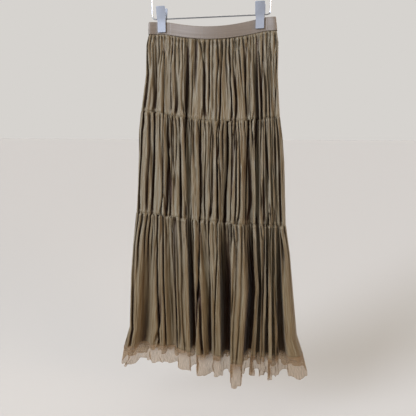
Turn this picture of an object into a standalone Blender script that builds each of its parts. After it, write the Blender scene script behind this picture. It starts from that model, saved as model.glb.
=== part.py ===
"""A maxi skirt of three gathered tiers with a sheer frill, hung by two sprung clips from a
wire skirt hanger.

Metres, +Z up. The front of the skirt faces -Y, and +X is on the viewer's right. The origin is the
highest point of the hook's inner curve, where a rail carries the hanger, so everything hangs below.
"""

import math

import bmesh
import bpy
import numpy as np
from mathutils import Matrix, Vector

# Driving dimensions of the hanger.
WIRE_RADIUS = 0.0015
HOOK_INNER_RADIUS = 0.020
BAR_DROP = 0.180  # from the hook's inner top down to the middle of the lower bar
BAR_HALF = 0.1405
BAR_CORNER = 0.008
SHOULDER_RISE = 0.062
SHOULDER_CORNER = 0.018
NECK_RISE = 0.114
NECK_CORNER = 0.010
FERRULE_RADIUS = 0.0035
FERRULE_HEIGHT = 0.010
FERRULE_EDGE = 0.0006
STEM_HEIGHT = 0.004
STEM_BEND = 0.012  # from the stem's top up to where the sweep out to the hook is level
SWEEP_STEPS = 9
HOOK_TURN = 205.0  # degrees of arc, from the side of the stem over the top to the tip

# Driving dimensions of the clips, measured from the middle of the bar.
CLIP_X = 0.117
CLIP_TOP = 0.027
CLIP_BOTTOM = -0.031
HANDLE_WIDTH = 0.022
JAW_WIDTH = 0.0195
PLATE = 0.0012
PAD_SIZE = (0.0165, 0.0015, 0.017)
PAD_Z = -0.0205
PAD_EDGE = 0.0004
EAR_REACH = 0.0030
EAR_INSET = {-1: 0.0010, 1: 0.0026}  # the back plate's ears lie just inside the front plate's
EAR_HALF_HEIGHT = 0.0042
EAR_BORE = 0.0019
SPRING_RADIUS = 0.0033
SPRING_BORE = 0.0021
SPRING_LENGTH = 0.0115

# One row for each bend of a clip's plate, from its lip up to its top: how far it stands out from
# the jaw, its height above the bar and its width there. The ears are bent from the fifth row.
PLATE_COLUMNS = ("out", "height", "width")
PLATE_BENDS = (
    (0.0007, CLIP_BOTTOM, JAW_WIDTH),
    (0.0000, CLIP_BOTTOM + 0.0025, JAW_WIDTH),
    (0.0000, -0.0080, JAW_WIDTH),
    (0.0006, -0.0030, JAW_WIDTH),
    (0.0014, 0.0010, HANDLE_WIDTH),
    (0.0076, CLIP_TOP - 0.0020, HANDLE_WIDTH),
    (0.0082, CLIP_TOP, HANDLE_WIDTH),
)
EAR_ROW = 4

# Driving dimensions of the cloth.
GAP = 0.0003
SEAM_GAP = 0.00036
BAND_THICKNESS = 0.0020
CLOTH_THICKNESS = 0.0012
FRILL_THICKNESS = 0.0010
BAND_GRIP = 0.5 * (GAP + BAND_THICKNESS)  # from the middle plane to the middle of one gripped band
BAND_OPEN = 0.0065  # how far each band stands off between the clips
GRIP_INNER = 0.1045
GRIP_OUTER = 0.1295
PINCH_FROM = 0.037
PINCH_TO = 0.130
END_ROUND = 0.5

# One row for each level: how far it is below the bar, then the half widths to the viewer's left
# and right, how deep the front and the back stand at the middle, and the depth at the side folds.
SECTION_COLUMNS = ("drop", "left", "right", "front", "back", "side")
SECTIONS = (
    (0.006, 0.1490, 0.1520, 0.0077, 0.0077, 0.0040),
    (0.036, 0.1505, 0.1560, 0.0085, 0.0085, 0.0045),
    (0.060, 0.1560, 0.1605, 0.0180, 0.0150, 0.0090),
    (0.130, 0.1590, 0.1610, 0.0250, 0.0200, 0.0130),
    (0.222, 0.1735, 0.1685, 0.0300, 0.0250, 0.0160),
    (0.270, 0.1805, 0.1760, 0.0350, 0.0290, 0.0185),
    (0.330, 0.1825, 0.1820, 0.0380, 0.0310, 0.0200),
    (0.420, 0.1875, 0.1870, 0.0420, 0.0340, 0.0220),
    (0.479, 0.1925, 0.1900, 0.0440, 0.0360, 0.0235),
    (0.560, 0.2040, 0.2030, 0.0500, 0.0410, 0.0260),
    (0.640, 0.2125, 0.2115, 0.0530, 0.0440, 0.0280),
    (0.780, 0.2210, 0.2270, 0.0560, 0.0490, 0.0310),
    (0.828, 0.2370, 0.2425, 0.0580, 0.0510, 0.0320),
    (0.880, 0.2465, 0.2575, 0.0620, 0.0540, 0.0330),
)

# One row for each edge or seam line: its drop below the bar at the sides, how much lower it sags
# in the middle, the middle and half span of that sag, how much it tips down towards +X, and how
# much of each fold's own drop it takes.
LINE_COLUMNS = ("name", "drop", "sag", "sag_x", "sag_span", "tip", "hang")
LINES = (
    ("waist_top", 0.0060, 0.0160, 0.008, 0.125, 0.000, 0.0),
    ("waist_seam", 0.0350, 0.0155, 0.008, 0.128, 0.001, 0.0),
    ("seam_1", 0.2215, 0.0170, 0.015, 0.160, 0.006, 0.0),
    ("seam_2", 0.4790, 0.0010, 0.000, 0.180, 0.008, 0.0),
    ("frill_seam", 0.8280, 0.0000, 0.000, 0.200, -0.002, 0.5),
    ("hem", 0.8800, 0.0000, 0.000, 0.200, 0.000, 1.0),
)

# One row for each large fold, from -X to +X, in millimetres: where the valley on the fold's +X
# side runs at four levels, how deep it cuts in at three of them, and how far the fold's crest
# stands out and hangs lower at the hem. The last fold ends at the side, so it has no valley.
FOLD_COLUMNS = ("waist", "seam_1", "seam_2", "hem", "cut_1", "cut_2", "cut_hem", "stand", "drop")
FOLD_LEVELS = {"waist": "waist_seam", "seam_1": "seam_1", "cut_1": "seam_1", "seam_2": "seam_2",
               "cut_2": "seam_2", "hem": "hem", "cut_hem": "hem"}
FRONT_FOLDS = (
    (-129.5, -136, -146, -184, 5, 8, 60, 0, 15),
    (-104.5, -102, -102, -90, 8, 10, 35, -15, -8),
    (-78.0, -75, -62, -57, 4, 5, 12, -14, -1),
    (-55.0, -51, -43, -32, 12, 14, 35, -7, 0),
    (-15.0, -19, -10, 11, 5, 8, 15, 0, 4),
    (35.0, 48, 49, 51, 7, 10, 28, 0, 1),
    (80.0, 90, 102, 107, 5, 9, 50, 27, 14),
    (104.5, 116, 122, 129, 11, 13, 16, -2, -7),
    (129.5, 138, 149, 155, 4, 6, 14, 3, -4),
    (137.0, 146, 159, 172, 3, 5, 12, 12, -2),
    (142.0, 154, 170, 192, 4, 6, 28, 0, -6),
    (None, None, None, None, 0, 0, 0, 0, 2),
)
BACK_FOLDS = (
    (-129.5, -141, -157, -205, 5, 7, 8, 0, 15),
    (-104.5, -112, -122, -140, 9, 11, 18, 5, 0),
    (-80.0, -84, -87, -98, 4, 6, 20, 8, -4),
    (-52.0, -57, -52, -61, 7, 9, 26, 0, 3),
    (-24.0, -22, -24, -22, 5, 7, 16, -6, -2),
    (8.0, 6, 12, 17, 10, 12, 30, 10, 8),
    (44.0, 41, 38, 52, 4, 6, 14, -4, 0),
    (75.0, 76, 80, 86, 8, 10, 28, 6, -5),
    (104.5, 110, 115, 131, 5, 8, 20, 0, 4),
    (129.5, 136, 145, 168, 7, 9, 26, 9, 0),
    (140.0, 152, 166, 205, 4, 6, 18, -3, -6),
    (None, None, None, None, 0, 0, 0, 0, 2),
)

# One row for each ring of cloth: the lines it runs between, its rows of cells, its wall, how much
# deeper its folds are halfway down than at its edges, how far its lower edge flares, its material.
TIER_COLUMNS = ("name", "top", "bottom", "rows", "wall", "swell", "flare", "material")
TIERS = (
    ("waistband", "waist_top", "waist_seam", 2, BAND_THICKNESS, 0.0, 0.0, "elastic_ribbon"),
    ("tier_1", "waist_seam", "seam_1", 3, CLOTH_THICKNESS, 0.3, 0.0, "crinkled_satin_georgette"),
    ("tier_2", "seam_1", "seam_2", 4, CLOTH_THICKNESS, 0.4, 0.0, "crinkled_satin_georgette"),
    ("tier_3", "seam_2", "frill_seam", 6, CLOTH_THICKNESS, 0.2, 0.0, "crinkled_satin_georgette"),
    ("frill", "frill_seam", "hem", 2, FRILL_THICKNESS, 0.0, 0.004, "sheer_chiffon"),
)
SIDE_ANGLES = (88.0, 60.0, 30.0)  # where the columns of a side fold lie, from the side seam
HALFWAY_CUT = 0.38  # how much of a valley's cut is reached halfway from the crest, which is round

# One row for each material: sRGB colour, roughness, metallic.
MATERIALS = {
    "elastic_ribbon": ("#8b837b", 0.55, 0.0),
    "crinkled_satin_georgette": ("#7a6d5b", 0.50, 0.0),
    "sheer_chiffon": ("#a8947f", 0.60, 0.0),
    "chromed_wire": ("#b9bcc2", 0.20, 1.0),
    "satin_nickel": ("#abb0b9", 0.35, 1.0),
    "spring_steel": ("#9a9da3", 0.30, 1.0),
    "grip_rubber": ("#c9c9c6", 0.80, 0.0),
}


def start_scene():
    """Remove the startup objects and return the skirt's own collection."""
    for existing in list(bpy.data.objects):
        bpy.data.objects.remove(existing, do_unlink=True)
    collection = bpy.data.collections.new("maxi_skirt")
    bpy.context.scene.collection.children.link(collection)
    return collection


def linear(channel):
    """One sRGB channel, 0 to 1, as linear light."""
    return channel / 12.92 if channel <= 0.04045 else ((channel + 0.055) / 1.055) ** 2.4


def make_materials():
    """One Principled material for each row of MATERIALS."""
    made = {}
    for name, (colour, roughness, metallic) in MATERIALS.items():
        material = bpy.data.materials.new(name)
        material.use_nodes = True
        shader = material.node_tree.nodes["Principled BSDF"]
        channels = [linear(int(colour[at:at + 2], 16) / 255.0) for at in (1, 3, 5)]
        shader.inputs["Base Color"].default_value = (*channels, 1.0)
        shader.inputs["Roughness"].default_value = roughness
        shader.inputs["Metallic"].default_value = metallic
        made[name] = material
    return made


def add_object(name, data, material, collection):
    """Link a mesh or curve into the skirt's collection as a named sub-part."""
    made = bpy.data.objects.new(name, data)
    made.data.materials.append(material)
    collection.objects.link(made)
    return made


# Cloth ------------------------------------------------------------------------------------------

def section_at(drop):
    """The section table's columns at one drop below the bar."""
    table = np.array(SECTIONS)
    return {name: np.interp(drop, table[:, 0], table[:, at])
            for at, name in enumerate(SECTION_COLUMNS)}


def line_named(name):
    """One row of LINES as a dictionary."""
    row = next(row for row in LINES if row[0] == name)
    return dict(zip(LINE_COLUMNS, row))


def fold_value(row, names, drop):
    """One fold's value at a drop, in metres, between the levels that the named columns belong to."""
    drops = [line_named(FOLD_LEVELS[name])["drop"] for name in names]
    values = [row[FOLD_COLUMNS.index(name)] / 1000.0 for name in names]
    return float(np.interp(drop, drops, values))


def smooth(value):
    """A smooth step from 0 to 1."""
    value = np.clip(value, 0.0, 1.0)
    return value * value * (3.0 - 2.0 * value)


def envelope(x, drop, side):
    """How far the crests stand from the middle plane at x, on the front (-1) or the back (+1)."""
    section = section_at(drop)
    depth = section["front"] if side < 0 else section["back"]
    reach = np.where(x < 0, section["left"], section["right"]) - END_ROUND * section["side"]
    lens = section["side"] + (depth - section["side"]) * (1.0 - (x / reach) ** 2)
    across = np.abs(x)
    middle = BAND_GRIP + BAND_OPEN * np.clip(1.0 - (across / GRIP_INNER) ** 2, 0.0, None) ** 2
    ends = BAND_GRIP + (section["side"] - BAND_GRIP) * smooth(
        (across - GRIP_OUTER) / (reach - GRIP_OUTER))
    gripped = np.where(across < GRIP_INNER, middle, ends)
    pinch = 1.0 - smooth((drop - PINCH_FROM) / (PINCH_TO - PINCH_FROM))
    return pinch * gripped + (1.0 - pinch) * lens, 1.0 - pinch


def alternate(crests, valleys):
    """One value for each crest and valley in turn, beginning and ending with a crest."""
    values = np.empty(len(crests) + len(valleys))
    values[0::2] = crests
    values[1::2] = valleys
    return values


def with_halfway(values, share):
    """Add a column halfway between each crest and valley, at a share of the way to the valley."""
    towards_next = np.where(np.arange(len(values) - 1) % 2 == 0, share, 1.0 - share)
    columns = np.empty(2 * len(values) - 1)
    columns[0::2] = values
    columns[1::2] = values[:-1] + towards_next * (values[1:] - values[:-1])
    return columns


def ring_columns(drop, side, swell):
    """The x, y and own drop of each column of half a ring of cloth, from -X to +X."""
    folds = FRONT_FOLDS if side < 0 else BACK_FOLDS
    section = section_at(drop)
    left_end = -(section["left"] - END_ROUND * section["side"])
    right_end = section["right"] - END_ROUND * section["side"]
    valleys = [fold_value(row, ("waist", "seam_1", "seam_2", "hem"), drop) for row in folds[:-1]]
    cuts = [fold_value(row, ("cut_1", "cut_2", "cut_hem"), drop) for row in folds[:-1]]
    low = float(np.interp(drop, (line_named("seam_1")["drop"], line_named("hem")["drop"]), (0, 1)))
    stands = [low * row[FOLD_COLUMNS.index("stand")] / 1000.0 for row in folds]
    drops = [row[FOLD_COLUMNS.index("drop")] / 1000.0 for row in folds]
    between = [0.5 * (a + b) for a, b in zip(valleys, valleys[1:])]
    x = alternate([left_end, *between, right_end], valleys)
    inward = alternate([-stand for stand in stands], cuts)
    own_drop = alternate(drops, [0.5 * (a + b) for a, b in zip(drops, drops[1:])])
    x, own_drop = with_halfway(x, 0.5), with_halfway(own_drop, 0.5)
    inward = with_halfway(inward, HALFWAY_CUT)
    depth, loose = envelope(x, drop, side)
    return end_columns(x, depth - inward * loose * swell, own_drop, section)


def end_columns(x, y, own_drop, section):
    """Add the columns that turn round the two side folds to the side seams."""
    angles = np.radians(SIDE_ANGLES)
    turn_x = END_ROUND * section["side"] * np.sin(angles)
    turn_y = section["side"] * np.cos(angles)
    seam_y = 0.5 * SEAM_GAP
    left = np.concatenate(([-section["left"]], x[0] - turn_x))
    right = np.concatenate((x[-1] + turn_x[::-1], [section["right"]]))
    end_y = np.concatenate(([seam_y], np.maximum(turn_y, 2 * seam_y)))
    count = len(SIDE_ANGLES) + 1
    return (np.concatenate((left, x, right)),
            np.concatenate((end_y, y, end_y[::-1])),
            np.concatenate((np.full(count, own_drop[0]), own_drop, np.full(count, own_drop[-1]))))


def line_height(line, x, own_drop):
    """The height of an edge or seam line at each x."""
    sag = line["sag"] * np.clip(1.0 - ((x - line["sag_x"]) / line["sag_span"]) ** 2, 0.0, None)
    tip = line["tip"] * x / BAR_HALF
    return -BAR_DROP - line["drop"] - sag - tip - line["hang"] * own_drop


def cloth_surface(tier, side):
    """The points of one half ring, as rows from its top edge to its bottom edge."""
    top, bottom = line_named(tier["top"]), line_named(tier["bottom"])
    rows = []
    for share in np.linspace(0.0, 1.0, tier["rows"] + 1):
        drop = top["drop"] + share * (bottom["drop"] - top["drop"])
        swell = 1.0 + tier["swell"] * math.sin(math.pi * share)
        x, y, own_drop = ring_columns(drop, side, swell)
        high = line_height(top, x, own_drop) - 0.5 * SEAM_GAP
        low = line_height(bottom, x, own_drop) + 0.5 * SEAM_GAP
        flare = tier["flare"] * share
        outward = np.where(y > SEAM_GAP, y + flare, y)
        rows.append(np.stack((x, side * outward, high + share * (low - high)), axis=1))
    return rows


def add_cloth(tier, side, material, collection):
    """One half ring of cloth: an open grid laid along its folds, with a wall."""
    rows = cloth_surface(tier, side)
    across, down = len(rows[0]) - 1, len(rows) - 1
    mesh = bmesh.new()
    bmesh.ops.create_grid(mesh, x_segments=across, y_segments=down, size=1.0)
    for vertex in mesh.verts:
        column = round(0.5 * (vertex.co.x + 1.0) * across)
        row = round(0.5 * (1.0 - vertex.co.y) * down)
        vertex.co = Vector(rows[row][column])
    name = f"{tier['name']}_{'front' if side < 0 else 'back'}"
    data = bpy.data.meshes.new(name)
    mesh.to_mesh(data)
    mesh.free()
    data.shade_smooth()
    cloth = add_object(name, data, material, collection)
    wall = cloth.modifiers.new("wall", "SOLIDIFY")
    wall.thickness = tier["wall"]
    wall.offset = 0.0
    return cloth


# Hanger -----------------------------------------------------------------------------------------

def arc(centre, radius, start, end, steps):
    """Points on an arc in the XZ plane, from one angle to another, in degrees."""
    angles = np.radians(np.linspace(start, end, steps + 1))
    return [(centre[0] + radius * math.cos(a), centre[1] + radius * math.sin(a)) for a in angles]


def rounded_loop(corners, steps=6):
    """A closed path round corners, each given as x, z and the radius of its arc."""
    path = []
    for at, (x, z, radius) in enumerate(corners):
        here = Vector((x, z))
        before = (Vector(corners[at - 1][:2]) - here).normalized()
        after = (Vector(corners[(at + 1) % len(corners)][:2]) - here).normalized()
        half_angle = 0.5 * before.angle(after)
        middle = here + (before + after).normalized() * (radius / math.sin(half_angle))
        first = (here + before * (radius / math.tan(half_angle)) - middle).normalized()
        last = (here + after * (radius / math.tan(half_angle)) - middle).normalized()
        for step in range(steps + 1):
            path.append(tuple(middle + radius * first.slerp(last, step / steps)))
    return path


def subdivided(path, longest, closed):
    """The same path with no step longer than the given length."""
    ends = path[1:] + path[:1] if closed else path[1:]
    points = []
    for start, end in zip(path, ends):
        pieces = max(1, math.ceil(math.dist(start, end) / longest))
        for piece in range(pieces):
            share = piece / pieces
            points.append(tuple(a + share * (b - a) for a, b in zip(start, end)))
    return points if closed else points + [path[-1]]


def add_wire(name, path, closed, material, collection):
    """A round wire along a path in the XZ plane."""
    curve = bpy.data.curves.new(name, "CURVE")
    curve.dimensions = "3D"
    curve.bevel_depth = WIRE_RADIUS
    curve.bevel_resolution = 2
    curve.use_fill_caps = not closed
    spline = curve.splines.new("POLY")
    spline.points.add(len(path) - 1)
    for point, (x, z) in zip(spline.points, path):
        point.co = (x, 0.0, z, 1.0)
    spline.use_cyclic_u = closed
    return add_object(name, curve, material, collection)


def add_frame(material, collection):
    """The hanger's closed wire: the lower bar, its two uprights and the arms up to the neck."""
    corners = (
        (-BAR_HALF, -BAR_DROP, BAR_CORNER),
        (BAR_HALF, -BAR_DROP, BAR_CORNER),
        (BAR_HALF, SHOULDER_RISE - BAR_DROP, SHOULDER_CORNER),
        (0.0, NECK_RISE - BAR_DROP, NECK_CORNER),
        (-BAR_HALF, SHOULDER_RISE - BAR_DROP, SHOULDER_CORNER),
    )
    path = subdivided(rounded_loop(corners), longest=0.06, closed=True)
    add_wire("hanger_frame", path, True, material, collection)
    return max(z for _, z in path)


def add_neck(frame_top, material, collection):
    """The ferrule that holds the hook on top of the frame."""
    foot = frame_top + WIRE_RADIUS + GAP
    mesh = bmesh.new()
    place = Matrix.Translation((0.0, 0.0, foot + 0.5 * FERRULE_HEIGHT))
    bmesh.ops.create_cone(mesh, cap_ends=True, segments=24, radius1=FERRULE_RADIUS,
                          radius2=FERRULE_RADIUS, depth=FERRULE_HEIGHT, matrix=place)
    data = bpy.data.meshes.new("hanger_neck")
    mesh.to_mesh(data)
    mesh.free()
    neck = add_object("hanger_neck", data, material, collection)
    edge = neck.modifiers.new("rounded edge", "BEVEL")
    edge.width = FERRULE_EDGE
    edge.segments = 2
    return foot + FERRULE_HEIGHT


def add_hook(neck_top, material, collection):
    """The hook: a straight stem, a sweep out to +X, and round over the top to its tip at -X."""
    radius = HOOK_INNER_RADIUS + WIRE_RADIUS
    centre = (0.0, -HOOK_INNER_RADIUS)
    foot = neck_top + GAP
    stem_top = foot + STEM_HEIGHT
    pulls = ((0.0, stem_top), (0.0, stem_top + STEM_BEND), (radius, stem_top + STEM_BEND),
             (radius, centre[1]))
    sweep = []
    for step in range(1, SWEEP_STEPS):
        t = step / SWEEP_STEPS
        weights = ((1 - t) ** 3, 3 * t * (1 - t) ** 2, 3 * t * t * (1 - t), t ** 3)
        sweep.append(tuple(sum(w * pull[axis] for w, pull in zip(weights, pulls))
                           for axis in (0, 1)))
    over = arc(centre, radius, 0.0, HOOK_TURN, steps=20)
    path = [(0.0, foot), (0.0, stem_top), *sweep, *over]
    add_wire("hanger_hook", path, False, material, collection)


# Clips ------------------------------------------------------------------------------------------

def box_mesh(low, high):
    """A box between two corners, as a bmesh."""
    mesh = bmesh.new()
    size = [b - a for a, b in zip(low, high)]
    middle = [0.5 * (a + b) for a, b in zip(low, high)]
    bmesh.ops.create_cube(mesh, size=1.0, matrix=Matrix.Translation(middle) @ Matrix.Diagonal(
        (*size, 1.0)))
    return mesh


def add_helper(name, mesh, helpers):
    """A cutter or a joined shape, kept out of the model."""
    data = bpy.data.meshes.new(name)
    mesh.to_mesh(data)
    mesh.free()
    helper = bpy.data.objects.new(name, data)
    helper.hide_render = True
    helper.display_type = "WIRE"
    helpers.objects.link(helper)
    return helper


def add_plate(name, x, side, material, collection, helpers):
    """One bent plate of a clip, with the two ears that hold it on the bar."""
    jaw = BAND_GRIP + 0.5 * BAND_THICKNESS + 2 * GAP + PAD_SIZE[1] + 0.5 * PLATE
    bends = len(PLATE_BENDS) - 1
    mesh = bmesh.new()
    bmesh.ops.create_grid(mesh, x_segments=1, y_segments=bends, size=1.0)
    for vertex in mesh.verts:
        out, height, width = PLATE_BENDS[round(0.5 * (vertex.co.y + 1.0) * bends)]
        vertex.co = Vector((x + 0.5 * width * vertex.co.x, side * (jaw + out), height - BAR_DROP))
    data = bpy.data.meshes.new(name)
    mesh.to_mesh(data)
    mesh.free()
    plate = add_object(name, data, material, collection)
    wall = plate.modifiers.new("sheet", "SOLIDIFY")
    wall.thickness = PLATE
    wall.offset = 0.0

    ear_x = 0.5 * HANDLE_WIDTH - EAR_INSET[side]
    root = jaw + PLATE_BENDS[EAR_ROW][0]
    for hand in (-1, 1):
        near, far = sorted((x + hand * ear_x, x + hand * (ear_x - PLATE)))
        y_low, y_high = sorted((side * root, -side * EAR_REACH))
        ear = add_helper(f"{name}_ear_{'right' if hand > 0 else 'left'}", box_mesh(
            (near, y_low, -EAR_HALF_HEIGHT - BAR_DROP), (far, y_high, EAR_HALF_HEIGHT - BAR_DROP)),
            helpers)
        join = plate.modifiers.new("ear", "BOOLEAN")
        join.operation = "UNION"
        join.object = ear
    bore = bmesh.new()
    turn = Matrix.Translation((x, 0.0, -BAR_DROP)) @ Matrix.Rotation(math.radians(90), 4, "Y")
    bmesh.ops.create_cone(bore, cap_ends=True, segments=16, radius1=EAR_BORE, radius2=EAR_BORE,
                          depth=1.5 * HANDLE_WIDTH, matrix=turn)
    cut = plate.modifiers.new("bore", "BOOLEAN")
    cut.operation = "DIFFERENCE"
    cut.object = add_helper(f"{name}_bore", bore, helpers)


def add_spring(name, x, material, collection):
    """The coil that closes the clip, as the hollow cylinder it fills round the bar."""
    half = 0.5 * SPRING_LENGTH
    outline = ((-half, SPRING_RADIUS), (half, SPRING_RADIUS), (half, SPRING_BORE),
               (-half, SPRING_BORE))
    mesh = bmesh.new()
    corners = [mesh.verts.new((along, 0.0, out)) for along, out in outline]
    for first, second in zip(corners, corners[1:] + corners[:1]):
        mesh.edges.new((first, second))
    data = bpy.data.meshes.new(name)
    mesh.to_mesh(data)
    mesh.free()
    spring = add_object(name, data, material, collection)
    spring.location = (x, 0.0, -BAR_DROP)
    turn = spring.modifiers.new("turn", "SCREW")
    turn.axis = "X"
    turn.steps = 16
    turn.render_steps = 16
    turn.merge_threshold = 0.00001
    turn.use_merge_vertices = True
    turn.use_normal_calculate = True
    turn.use_normal_flip = True


def add_pad(name, x, side, material, collection):
    """The rubber pad between one plate and the band it grips."""
    width, thick, tall = PAD_SIZE
    inner = BAND_GRIP + 0.5 * BAND_THICKNESS + GAP
    y_low, y_high = sorted((side * inner, side * (inner + thick)))
    middle = PAD_Z - BAR_DROP
    mesh = box_mesh((x - 0.5 * width, y_low, middle - 0.5 * tall),
                    (x + 0.5 * width, y_high, middle + 0.5 * tall))
    data = bpy.data.meshes.new(name)
    mesh.to_mesh(data)
    mesh.free()
    pad = add_object(name, data, material, collection)
    edge = pad.modifiers.new("rounded edge", "BEVEL")
    edge.width = PAD_EDGE
    edge.segments = 1


def build():
    """Make every sub-part of the skirt and its hanger."""
    collection = start_scene()
    helpers = bpy.data.collections.new("cutters")
    bpy.context.scene.collection.children.link(helpers)
    materials = make_materials()

    for row in TIERS:
        tier = dict(zip(TIER_COLUMNS, row))
        for side in (-1, 1):
            add_cloth(tier, side, materials[tier["material"]], collection)

    frame_top = add_frame(materials["chromed_wire"], collection)
    neck_top = add_neck(frame_top, materials["chromed_wire"], collection)
    add_hook(neck_top, materials["chromed_wire"], collection)

    for hand, x in (("left", -CLIP_X), ("right", CLIP_X)):
        for face, side in (("front", -1), ("back", 1)):
            add_plate(f"clip_{hand}_plate_{face}", x, side, materials["satin_nickel"], collection,
                      helpers)
            add_pad(f"clip_{hand}_pad_{face}", x, side, materials["grip_rubber"], collection)
        add_spring(f"clip_{hand}_spring", x, materials["spring_steel"], collection)


build()
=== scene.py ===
"""A maxi skirt of three gathered tiers of crinkled satin georgette with a sheer chiffon frill,
hung by two sprung clips from a chromed wire hanger.

Metres, +Z up. The front of the skirt faces -Y. The origin is the top of the hook's inner curve.
"""

import math

import bmesh
import bpy
import numpy as np
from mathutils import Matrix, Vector


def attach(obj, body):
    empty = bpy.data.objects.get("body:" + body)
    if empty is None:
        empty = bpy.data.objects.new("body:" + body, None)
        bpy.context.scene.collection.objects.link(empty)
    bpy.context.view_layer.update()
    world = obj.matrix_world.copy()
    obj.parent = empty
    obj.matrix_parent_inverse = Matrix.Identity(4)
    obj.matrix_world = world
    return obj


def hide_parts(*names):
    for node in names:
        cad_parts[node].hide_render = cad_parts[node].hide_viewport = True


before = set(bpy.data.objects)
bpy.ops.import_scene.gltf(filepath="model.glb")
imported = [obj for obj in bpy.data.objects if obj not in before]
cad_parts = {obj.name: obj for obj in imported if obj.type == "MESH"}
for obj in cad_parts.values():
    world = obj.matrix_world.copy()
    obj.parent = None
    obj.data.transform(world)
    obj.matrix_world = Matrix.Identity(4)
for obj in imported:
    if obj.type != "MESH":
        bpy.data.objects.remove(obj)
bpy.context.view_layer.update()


# Wire hanger ------------------------------------------------------------------------------------
# A closed frame of 3 mm steel wire, bent to a bar with two uprights and two arms, with a hook
# held by a crimped ferrule. All of it is drawn wire, polished and chromed after it is bent.

WIRE_RADIUS = 0.0015
HOOK_INNER_RADIUS = 0.020
BAR_DROP = 0.180
BAR_HALF = 0.1405
BAR_CORNER = 0.008
SHOULDER_RISE = 0.062
SHOULDER_CORNER = 0.018
NECK_RISE = 0.114
NECK_CORNER = 0.010
FERRULE_RADIUS = 0.0035
FERRULE_HEIGHT = 0.010
STEM_HEIGHT = 0.004
STEM_BEND = 0.012
HOOK_TURN = 205.0
TIP_TAPER = 0.93
SOLID_GAP = 0.0003
CHROME = "#8f9298"
# The crimped ferrule's outline, as shares of its radius and of its height.
FERRULE_OUTLINE = (
    (0.0, 0.0), (0.78, 0.0), (0.95, 0.03), (1.0, 0.08), (1.0, 0.26), (0.90, 0.30), (0.90, 0.36),
    (1.0, 0.40), (1.0, 0.60), (0.90, 0.64), (0.90, 0.70), (1.0, 0.74), (1.0, 0.90), (0.95, 0.97),
    (0.75, 1.0), (0.0, 1.0),
)


def linear(hex_colour):
    """An sRGB hex colour as linear red, green, blue and alpha."""
    channels = [int(hex_colour[at:at + 2], 16) / 255.0 for at in (1, 3, 5)]
    return (*(c / 12.92 if c <= 0.04045 else ((c + 0.055) / 1.055) ** 2.4 for c in channels), 1.0)


def add_node(material, kind, settings, inputs):
    """Add a node, with its own settings, and give each named input a value or another's output."""
    made = material.node_tree.nodes.new(kind)
    for name, value in settings.items():
        setattr(made, name, value)
    for name, value in inputs.items():
        if isinstance(value, bpy.types.NodeSocket):
            material.node_tree.links.new(value, made.inputs[name])
        else:
            made.inputs[name].default_value = value
    return made


def start_material(name):
    """An empty node material."""
    material = bpy.data.materials.new(name)
    material.use_nodes = True
    material.node_tree.nodes.clear()
    return material


def finish_material(material, shader):
    """Send a shader node's result to the material's surface."""
    add_node(material, "ShaderNodeOutputMaterial", {}, {"Surface": shader.outputs[0]})


def drawn_metal(name, colour, roughness, grain_mm, depth_mm):
    """Metal with the fine grain left by drawing or brushing, seen as a slightly uneven gloss."""
    material = start_material(name)
    place = add_node(material, "ShaderNodeTexCoord", {}, {})
    grain = add_node(material, "ShaderNodeTexNoise", {}, {
        "Vector": place.outputs["Object"], "Scale": 1000.0 / grain_mm, "Detail": 3.0})
    gloss = add_node(material, "ShaderNodeMapRange", {}, {
        "Value": grain.outputs["Fac"], "To Min": 0.8 * roughness, "To Max": 1.3 * roughness})
    bump = add_node(material, "ShaderNodeBump", {}, {
        "Height": grain.outputs["Fac"], "Strength": 0.4, "Distance": 0.001 * depth_mm})
    shader = add_node(material, "ShaderNodeBsdfPrincipled", {}, {
        "Base Color": linear(colour), "Metallic": 1.0, "Roughness": gloss.outputs["Result"],
        "Normal": bump.outputs["Normal"]})
    finish_material(material, shader)
    return material


def object_from(name, shape):
    """An object whose mesh is taken from a bmesh."""
    mesh = bpy.data.meshes.new(name)
    shape.to_mesh(mesh)
    shape.free()
    return bpy.data.objects.new(name, mesh)


def put_in_scene(made):
    """Link a new object into the scene."""
    bpy.context.scene.collection.objects.link(made)


def show(piece, material, slot, *nodes):
    """Finish a piece: its material, the body it moves with and the CAD it stands for. Its slot is
    not used.
    """
    piece.data.materials.append(material)
    put_in_scene(piece)
    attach(piece, "root")
    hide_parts(*nodes)


def arc(centre, radius, start, end, steps):
    """Points on an arc in the XZ plane, from one angle to another, in degrees."""
    angles = np.radians(np.linspace(start, end, steps + 1))
    return [(centre[0] + radius * math.cos(a), centre[1] + radius * math.sin(a)) for a in angles]


def rounded_loop(corners, steps):
    """A closed path round corners, each given as x, z and the radius of its bend."""
    path = []
    for at, (x, z, radius) in enumerate(corners):
        here = Vector((x, z))
        before = (Vector(corners[at - 1][:2]) - here).normalized()
        after = (Vector(corners[(at + 1) % len(corners)][:2]) - here).normalized()
        half_angle = 0.5 * before.angle(after)
        middle = here + (before + after).normalized() * (radius / math.sin(half_angle))
        first = (here + before * (radius / math.tan(half_angle)) - middle).normalized()
        last = (here + after * (radius / math.tan(half_angle)) - middle).normalized()
        for step in range(steps + 1):
            path.append(tuple(middle + radius * first.slerp(last, step / steps)))
    return path


def wire(name, path, radius, closed, thickness=None):
    """A round wire along a path of x, z or x, y, z points, tapered where thickness says so."""
    curve = bpy.data.curves.new(name, "CURVE")
    curve.dimensions = "3D"
    curve.bevel_depth = radius
    curve.bevel_resolution = 5
    curve.use_fill_caps = not closed
    spline = curve.splines.new("POLY")
    spline.points.add(len(path) - 1)
    for at, (point, place) in enumerate(zip(spline.points, path)):
        x, y, z = place if len(place) == 3 else (place[0], 0.0, place[1])
        point.co = (x, y, z, 1.0)
        point.radius = 1.0 if thickness is None else thickness[at]
    spline.use_cyclic_u = closed
    spline.use_smooth = True
    return bpy.data.objects.new(name, curve)


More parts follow.
